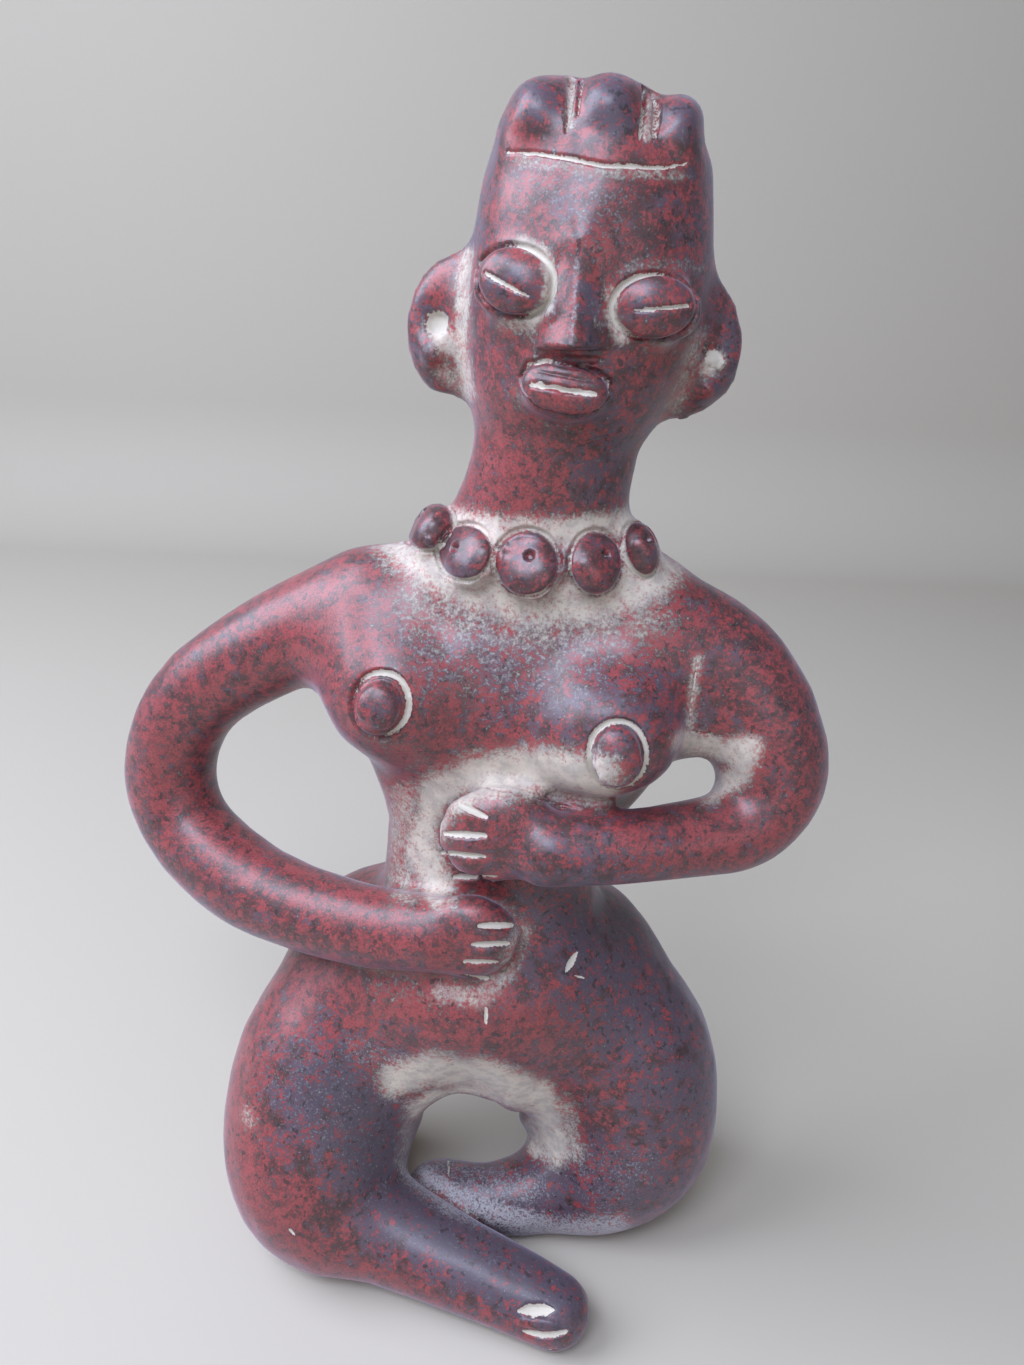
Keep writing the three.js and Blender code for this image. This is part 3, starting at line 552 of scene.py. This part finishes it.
def refine(skin, lines, reach):
    """Splits the faces near the marks."""
    points = points_of(skin)
    near = np.zeros(len(points), bool)
    for line in lines:
        near |= reach_of_path(points, line, reach)[0] < reach
    mesh = skin.data
    corners = np.empty(len(mesh.loops), np.int32)
    mesh.loops.foreach_get("vertex_index", corners)
    starts = np.empty(len(mesh.polygons), np.int32)
    mesh.polygons.foreach_get("loop_start", starts)
    chosen = np.logical_or.reduceat(near[corners], starts)
    pick_only(skin)
    bpy.ops.object.mode_set(mode="EDIT")
    bpy.ops.mesh.select_mode(type="FACE")
    bpy.ops.mesh.select_all(action="DESELECT")
    bpy.ops.object.mode_set(mode="OBJECT")
    mesh.polygons.foreach_set("select", chosen)
    bpy.ops.object.mode_set(mode="EDIT")
    bpy.ops.mesh.subdivide(number_cuts=1)
    bpy.ops.object.mode_set(mode="OBJECT")


def nudge(skin):
    """Moves the outline by small amounts across the camera's view."""
    points = points_of(skin)
    pixels = pixels_of(points)
    turn = np.array(camera_turn())
    depth = -((points - np.array(CAMERA_PLACE)) @ turn)[:, 2]
    shift = np.zeros_like(pixels)
    for centre, way, radius in NUDGES:
        near = np.exp(-np.sum((pixels - centre) ** 2, axis=1) / (2 * radius ** 2))
        shift += near[:, None] * np.array(way)
    shift *= (depth / FOCAL_PIXELS)[:, None]
    move_points(skin, points + shift[:, :1] * turn[:, 0] - shift[:, 1:] * turn[:, 1])
    relax(skin, NUDGE_ROUNDS, np.minimum(np.linalg.norm(shift, axis=1) / MM, 1))


def oval_reach(pixels, centre, half, tilt):
    """How far pixels are from the middle of an oval, as a share of its size."""
    turn = math.radians(tilt)
    offset = pixels - np.array(centre)
    along = offset[:, 0] * math.cos(turn) + offset[:, 1] * math.sin(turn)
    across = offset[:, 1] * math.cos(turn) - offset[:, 0] * math.sin(turn)
    return np.hypot(along / half[0], across / half[1])


def wander(points, share, first, second, shift=0.0):
    """A factor near 1 that changes over the clay by two crossed waves, in radians to the metre."""
    return 1 + share * np.sin(points @ np.array(first) + shift) * np.sin(points @ np.array(second))


def press_grooves(points, lines, pressure, edge):
    """How deep the marks go, and how much pigment lies in them."""
    sink = np.zeros(len(points))
    pigment = np.zeros(len(points))
    for each, line in zip(MARKS, lines):
        half = each["width"] * MM / 2
        distance, along = reach_of_path(points, line, half * 3)
        taper = (1 - each["taper"] * np.abs(2 * along - 1) ** 2.5) * (1 - each["narrow"] * along)
        across = distance / (half * np.maximum(taper, 0.05) * pressure)
        fills = np.atleast_1d(each["fill"])
        where = np.minimum((along * len(fills)).astype(int), len(fills) - 1)
        sink = np.maximum(sink, each["depth"] * MM * taper * (1 - smooth_step(*GROOVE_SIDE, across)))
        pigment = np.maximum(pigment, fills[where] * (1 - smooth_step(*GROOVE_PIGMENT, across * edge)))
    return sink, pigment


def crest_rise(points, line, width, height):
    """How high a crest stands. It is highest at its lower end, where it is cut off."""
    distance, along = reach_of_path(points, line, width * MM)
    half = width * MM / 2 * (0.3 + 0.7 * along)
    fall = (np.hypot(distance, CREST_ROUND) - CREST_ROUND) / half
    above_foot = 1 - smooth_step(*NOSE_FOOT, pixels_of(points)[:, 1])
    return height * MM * along * np.clip(1 - fall, 0, 1) * above_foot


def ovals_on_clay(ovals, reach, points, surface):
    """For each oval its height, how far the points lie from its middle, and how near they are."""
    pixels = pixels_of(points)
    for centre, half, tilt, height in ovals:
        place = place_on_clay([centre], surface)[0]
        close = 1 - smooth_step(*reach, np.linalg.norm(points - place, axis=1))
        yield height * MM, oval_reach(pixels, centre, half, tilt), close


def carve_marks(skin, lines, pits, crests):
    """Presses the marks and pits in and raises the domes. Stores where pigment and beads are."""
    surface = surface_of(skin)
    points, normals = points_of(skin), normals_of(skin)
    pressure = wander(points, 0.10, (2100, 1700, 2600), (900, 2300, 700))
    edge = wander(points, 0.08, (1500, 2900, 1900), (3300, 800, 2500), shift=1.0)
    sink, pigment = press_grooves(points, lines, pressure, edge)
    for centre, radius, depth, fill in pits:
        across = np.linalg.norm(points - centre, axis=1) / (radius * MM * pressure)
        sink += depth * MM * (1 - smooth_step(*PIT_SIDE, across))
        pigment = np.maximum(pigment, fill * (1 - smooth_step(*PIT_PIGMENT, across * edge)))
    for line, width, height in crests:
        sink -= crest_rise(points, line, width, height)
    for height, across, close in ovals_on_clay(DOMES, DOME_REACH, points, surface):
        top = np.sqrt(np.clip(1 - DOME_CURVE * across ** 2, 0, 1))
        sink -= height * (top * (1 - smooth_step(*DOME_EDGE, across))) * close
    for height, across, close in ovals_on_clay(SWELLINGS, SWELLING_REACH, points, surface):
        sink -= height * close * (1 - smooth_step(*SWELLING_EDGE, across))
    bead = np.zeros(len(points))
    for _, across, close in ovals_on_clay(BEAD_DOMES, DOME_REACH, points, surface):
        bead = np.maximum(bead, close * (1 - smooth_step(*BEAD_EDGE, across)))
    move_points(skin, points - normals * sink[:, None])
    store(skin, "pigment", pigment)
    store(skin, "bead", bead)


def flatten(skin):
    """Levels the nose and the knobs, so that they can be raised again with crisp edges."""
    surface = surface_of(skin)
    points, edges = points_of(skin), edges_of(skin)
    near = np.zeros(len(points))
    for path, width, _ in CRESTS:
        line = place_on_clay(finer(path, False, LINE_PIXELS), surface)
        distance, along = reach_of_path(points, line, width * MM)
        reach = distance / (width * MM / 2 * (0.55 + 0.6 * along))
        near = np.maximum(near, (1 - smooth_step(*NOSE_LEVEL, reach)) * smooth_step(*NOSE_START, along))
    for place in place_on_clay([centre for centre, *_ in KNOBS], surface):
        reach = np.linalg.norm(points - place, axis=1) / KNOB_REACH
        near = np.maximum(near, 1 - smooth_step(*KNOB_LEVEL, reach))
    for _ in range(LEVEL_ROUNDS):
        points += PULL_IN * near[:, None] * neighbour_pull(points, edges)
    move_points(skin, points)


def seen_points(skin, surface):
    """Which points of the clay the photograph shows, from 0 to 1."""
    points, normals = points_of(skin), normals_of(skin)
    eye = np.array(CAMERA_PLACE)
    towards = points - eye
    distance = np.linalg.norm(towards, axis=1)
    towards /= distance[:, None]
    facing = -np.einsum("ij,ij->i", towards, normals)
    seen = np.zeros(len(points))
    for i in np.flatnonzero(facing > SEEN_SLANT[0]):
        hit = surface.ray_cast(CAMERA_PLACE, Vector(towards[i]))
        if hit[3] is not None and hit[3] > distance[i] - SEEN_GAP:
            seen[i] = 1
    return seen * smooth_step(*SEEN_SLANT, facing)


def spread(values, edges, rounds):
    """Softens values over the surface."""
    near, far, count = neighbours_of(edges, len(values))
    for _ in range(rounds):
        values = 0.5 * values + 0.5 * np.bincount(near, values[far], len(values)) / count
    return values


def painted(pixels, seen, strokes):
    """Strength of soft strokes that are painted from where the photograph was taken."""
    total = np.zeros(len(pixels))
    flat = np.concatenate([pixels, np.zeros((len(pixels), 1))], 1)
    for path, radius, strength in strokes:
        line = [np.array([x, y, 0.0]) for x, y in path]
        distance = reach_of_path(flat, line, radius * 2)[0] / radius
        total = np.maximum(total, strength * (1 - smooth_step(*STROKE_FADE, distance)))
    return total * seen


def work_clay(skin):
    """Refines the skin near the marks and works them in."""
    surface = surface_of(skin)
    lines = [place_on_clay(finer(each["path"], each["loop"], LINE_PIXELS), surface) for each in MARKS]
    crests = []
    for path, width, height in CRESTS:
        crests.append((place_on_clay(finer(path, False, LINE_PIXELS), surface), width, height))
    pits = []
    for pixel, radius, depth, fill in PITS:
        pits.append((place_on_clay([pixel], surface)[0], radius, depth, fill))
    middles = [[centre, centre + np.array([0, 0, radius * MM * 0.2])] for centre, radius, _, _ in pits]
    worked = lines + middles
    refine(skin, worked + [line for line, _, _ in crests], COARSE_REACH)
    refine(skin, worked, FINE_REACH)
    even_near(skin, worked)
    carve_marks(skin, lines, pits, crests)
    cut_to_triangles(skin)
    move_points(skin, np.clip(points_of(skin), np.array(cad_low), np.array(cad_high)))


def even_near(skin, lines):
    """Evens the clay out near marks, after its faces there were split."""
    points = points_of(skin)
    close = np.zeros(len(points))
    for line in lines:
        reach = reach_of_path(points, line, MARK_LIMIT)[0] / MARK_REACH
        close = np.maximum(close, 1 - smooth_step(*MARK_FADE, reach))
    relax(skin, MARK_ROUNDS, close)


def cut_to_triangles(skin):
    pick_only(skin)
    bpy.ops.object.mode_set(mode="EDIT")
    bpy.ops.mesh.select_all(action="SELECT")
    bpy.ops.mesh.quads_convert_to_tris(quad_method="BEAUTY", ngon_method="BEAUTY")
    bpy.ops.object.mode_set(mode="OBJECT")


def paint_clay(skin):
    """Stores where the wash, the scraped places and painted sheen, the smoke and painted shade, and the red
    blush and painted light lie.
    """
    seen = spread(seen_points(skin, surface_of(skin)), edges_of(skin), SEEN_ROUNDS)
    pixels = pixels_of(points_of(skin))
    hollow = np.clip(stored(skin, "hollow"), 0, 1)
    bare = 1 - stored(skin, "bead")
    wash = np.maximum(painted(pixels, seen, WASHES), HOLLOW_WASH * hollow * (1 - PAINTED_LESS * seen))
    store(skin, "wash", wash * bare)
    store(skin, "scrape_and_sheen", painted(pixels, seen, SCRAPES_AND_SHEEN) * bare)
    store(skin, "smoke_and_shade", painted(pixels, seen, SMOKE_AND_SHADE))
    store(skin, "blush_and_light", painted(pixels, seen, BLUSH_AND_LIGHT))


class Number:
    """A number that changes over a surface. Python's operators add the nodes that work it out."""

    def __init__(self, finish, socket):
        self.finish = finish
        self.socket = socket

    def combine(self, operation, first, second):
        made = self.finish.node("ShaderNodeMath", {"operation": operation}, [first, second])
        return Number(self.finish, made)

    def __add__(self, other):
        return self.combine("ADD", self, other)

    def __radd__(self, other):
        return self.combine("ADD", other, self)

    def __sub__(self, other):
        return self.combine("SUBTRACT", self, other)

    def __rsub__(self, other):
        return self.combine("SUBTRACT", other, self)

    def __mul__(self, other):
        return self.combine("MULTIPLY", self, other)

    def __rmul__(self, other):
        return self.combine("MULTIPLY", other, self)

    def most(self, other):
        return self.combine("MAXIMUM", self, other)

    def step(self, low, high):
        """Rises smoothly from 0 at low to 1 at high."""
        settings = {"interpolation_type": "SMOOTHSTEP"}
        made = self.finish.node("ShaderNodeMapRange", settings, [self, low, high, 0.0, 1.0])
        return Number(self.finish, made)


class Finish:
    """A material whose colour and polish are worked out by expressions."""

    def __init__(self, name):
        self.material = bpy.data.materials.new(name)
        self.material.use_nodes = True
        self.tree = self.material.node_tree
        self.shader = self.tree.nodes["Principled BSDF"]
        self.place = self.node("ShaderNodeTexCoord", {}, [], "Object")

    def node(self, kind, settings, values, output=0):
        """Adds a node, sets it, fills or links its sockets by their order or name, and gives one output."""
        made = self.tree.nodes.new(kind)
        for name, value in settings.items():
            setattr(made, name, value)
        pairs = values.items() if isinstance(values, dict) else enumerate(values)
        for key, value in pairs:
            self.fill(made.inputs[key], value)
        return made.outputs[output]

    def fill(self, socket, value):
        if isinstance(value, Number):
            value = value.socket
        if isinstance(value, bpy.types.NodeSocket):
            self.tree.links.new(value, socket)
        elif isinstance(value, tuple) and len(value) == 3 and socket.type == "RGBA":
            socket.default_value = (*value, 1)
        else:
            socket.default_value = value

    def grain(self, size, detail=2.0, rough=0.5, shift=0.0):
        """Cloudy noise from 0 to 1 whose patches are about a size in metres."""
        moved = self.node("ShaderNodeMapping", {}, {"Vector": self.place, "Location": (shift,) * 3})
        sockets = {"Vector": moved, "Scale": 1 / size, "Detail": detail, "Roughness": rough}
        return Number(self, self.node("ShaderNodeTexNoise", {}, sockets, "Fac"))

    def stored(self, name):
        return Number(self, self.node("ShaderNodeAttribute", {"attribute_name": name}, [], "Fac"))

    def mix(self, share, first, second):
        sockets = {0: share, 6: first, 7: second}
        return self.node("ShaderNodeMix", {"data_type": "RGBA", "clamp_factor": True}, sockets, 2)

    def set(self, **values):
        for name, value in values.items():
            self.fill(self.shader.inputs[name.replace("_", " ")], value)

    def relief(self, height, distance, strength=1.0):
        sockets = {"Height": height, "Distance": distance, "Strength": strength}
        self.fill(self.shader.inputs["Normal"], self.node("ShaderNodeBump", {}, sockets))


BRICK_RED = (0.268, 0.041, 0.043)
DEEP_RED = (0.125, 0.024, 0.025)
BROWN_BLACK = (0.034, 0.018, 0.018)
SLATE = (0.062, 0.050, 0.072)
SOOT_AND_SHADE = (0.016, 0.010, 0.012)
CREAM = (0.61, 0.54, 0.45)
GREY_CREAM = (0.46, 0.41, 0.355)
COOL_GREY = (0.44, 0.42, 0.44)
CHALK = (0.53, 0.485, 0.41)


def burnished_slip():
    """Brick-red slip mottled with dark specks, a grainy cream wash in the hollows, and chalky pigment."""
    slip = Finish("burnished slip")
    wash, scrape_and_sheen, pigment = slip.stored("wash"), slip.stored("scrape_and_sheen"), slip.stored("pigment")
    smoke_and_shade, blush_and_light, bead = slip.stored("smoke_and_shade"), slip.stored("blush_and_light"), slip.stored("bead")
    fine = slip.grain(0.95 * MM, 4, 0.62, shift=0.7)
    broad = slip.grain(3.0 * MM, 3, 0.6, shift=0.3)
    clouds = slip.grain(15 * MM, 2, 0.5)
    dust = slip.grain(0.55 * MM, 2, 0.6, shift=0.9)
    mottle = 0.55 * fine + 0.45 * broad
    # Dark mottle of the slip, deepened by smoke and painted shade, and lessened by red blush and painted
    # light
    dark = (mottle + 0.07 * smoke_and_shade - 0.075 * blush_and_light + 0.04 * bead + 0.14 * (clouds - 0.5)).step(0.445, 0.555)
    cool = (slip.grain(5 * MM, 3, 0.6, shift=1.3) + 0.22 * smoke_and_shade).step(0.48, 0.68)
    soot = slip.grain(1.7 * MM, 2, 0.55, shift=1.7).step(0.60, 0.66)
    red = slip.mix((0.65 * dust + 0.35 * broad).step(0.42, 0.58), BRICK_RED, DEEP_RED)
    ash = slip.mix(cool, BROWN_BLACK, SLATE)
    colour = slip.mix(dark * (0.82 + 0.12 * smoke_and_shade), red, ash)
    # Black soot specks, and near-black painted shade where the smoke and shade strokes are strongest
    colour = slip.mix((soot * 0.75).most(0.8 * (smoke_and_shade - 0.95)), colour, SOOT_AND_SHADE)
    # Cool grey of wear and scrapes, and a painted highlight where the scrape strokes stand for sheen
    wear_and_sheen = (0.62 * scrape_and_sheen + 1.6 * (dust - 0.5) + 1.4 * (fine - 0.5)).step(0.08, 0.78)
    colour = slip.mix(wear_and_sheen * (0.16 + 0.72 * scrape_and_sheen), colour, COOL_GREY)
    cover = (wash + 0.9 * (dust - 0.5) + 1.4 * (fine - 0.5) + 0.9 * (broad - 0.5)).step(0.15, 0.95)
    pale = slip.mix(slip.grain(4 * MM, 3, 0.6, shift=2.1).step(0.4, 0.65), CREAM, GREY_CREAM)
    colour = slip.mix(cover * (0.22 + 0.75 * wash), colour, pale)
    fill = (pigment + (1.35 - pigment) * (0.9 * (dust - 0.5) + 0.8 * (fine - 0.5))).step(0.36, 0.64)
    colour = slip.mix(fill, colour, CHALK)
    matt = (cover * wash).most(wear_and_sheen * scrape_and_sheen * 0.6).most(fill)
    slip.set(Base_Color=colour, Roughness=0.44 + 0.12 * fine + 0.32 * matt - 0.08 * bead)
    slip.set(Coat_Weight=0.48 - 0.48 * matt - 0.24 * smoke_and_shade, Coat_Roughness=0.30, IOR=1.5)
    slip.set(Sheen_Weight=0.24, Sheen_Roughness=0.4, Sheen_Tint=(0.74, 0.74, 1.0))
    slip.relief(0.4 * fine + 0.3 * dust + 0.6 * broad, 0.22 * MM, 0.5)
    return slip.material


def pale_sweep():
    """A floor that curves up into a back wall."""
    bpy.ops.mesh.primitive_plane_add(size=1)
    sweep = bpy.context.object
    sweep.name = "pale_sweep"
    bpy.ops.object.mode_set(mode="EDIT")
    bpy.ops.transform.resize(value=(SWEEP_WIDTH, SWEEP_DEPTH, 1))
    bpy.ops.transform.translate(value=(0, SWEEP_FORWARD, 0))
    bpy.ops.mesh.select_mode(type="EDGE")
    bpy.ops.mesh.select_all(action="DESELECT")
    bpy.ops.object.mode_set(mode="OBJECT")
    for edge in sweep.data.edges:
        ends = [sweep.data.vertices[i].co for i in edge.vertices]
        edge.select = min(end.y for end in ends) > 0
    bpy.ops.object.mode_set(mode="EDIT")
    bpy.ops.mesh.extrude_region_move(TRANSFORM_OT_translate={"value": (0, 0, SWEEP_HEIGHT)})
    bpy.ops.object.mode_set(mode="OBJECT")
    round_corner = sweep.modifiers.new("round corner", "BEVEL")
    round_corner.width = SWEEP_ROUND
    round_corner.segments = SWEEP_FACES
    bpy.ops.object.modifier_apply(modifier=round_corner.name)
    bpy.ops.object.shade_smooth()
    paper = Finish("pale paper")
    paper.set(Base_Color=(0.46, 0.42, 0.355), Roughness=0.75)
    sweep.data.materials.append(paper.material)


def soft_light(name, place, aim, size, power, colour):
    data = bpy.data.lights.new(name, "AREA")
    data.shape = "RECTANGLE"
    data.size, data.size_y = size
    data.energy = power
    data.color = colour
    lamp = bpy.data.objects.new(name, data)
    lamp.location = place
    lamp.rotation_euler = (Vector(aim) - Vector(place)).to_track_quat("-Z", "Y").to_euler()
    bpy.context.scene.collection.objects.link(lamp)


def light_room():
    soft_light("window", (-0.76, -0.05, 0.84), (0, 0, 0.16), (0.8, 0.9), 16.5, (0.85, 0.93, 1.14))
    soft_light("sky", (-0.16, -0.52, 0.80), (0, 0, 0.24), (0.45, 0.36), 6.0, (0.84, 0.92, 1.16))
    soft_light("room", (0.45, -0.9, 0.35), (0, 0, 0.14), (1.0, 0.6), 1.6, (0.94, 0.96, 1.08))
    world = bpy.data.worlds.new("room")
    world.use_nodes = True
    world.node_tree.nodes["Background"].inputs["Color"].default_value = (0.84, 0.92, 1.05, 1)
    world.node_tree.nodes["Background"].inputs["Strength"].default_value = 0.30
    bpy.context.scene.world = world
    bpy.context.scene.view_settings.view_transform = "Standard"


aim_camera()
skin = copy_clay()
relax(skin, RELAX_ROUNDS)
nudge(skin)
mark_hollows(skin)
flatten(skin)
work_clay(skin)
paint_clay(skin)
skin.data.materials.clear()
skin.data.materials.append(burnished_slip())
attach(skin, "root")
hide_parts("figurine")
pale_sweep()
light_room()
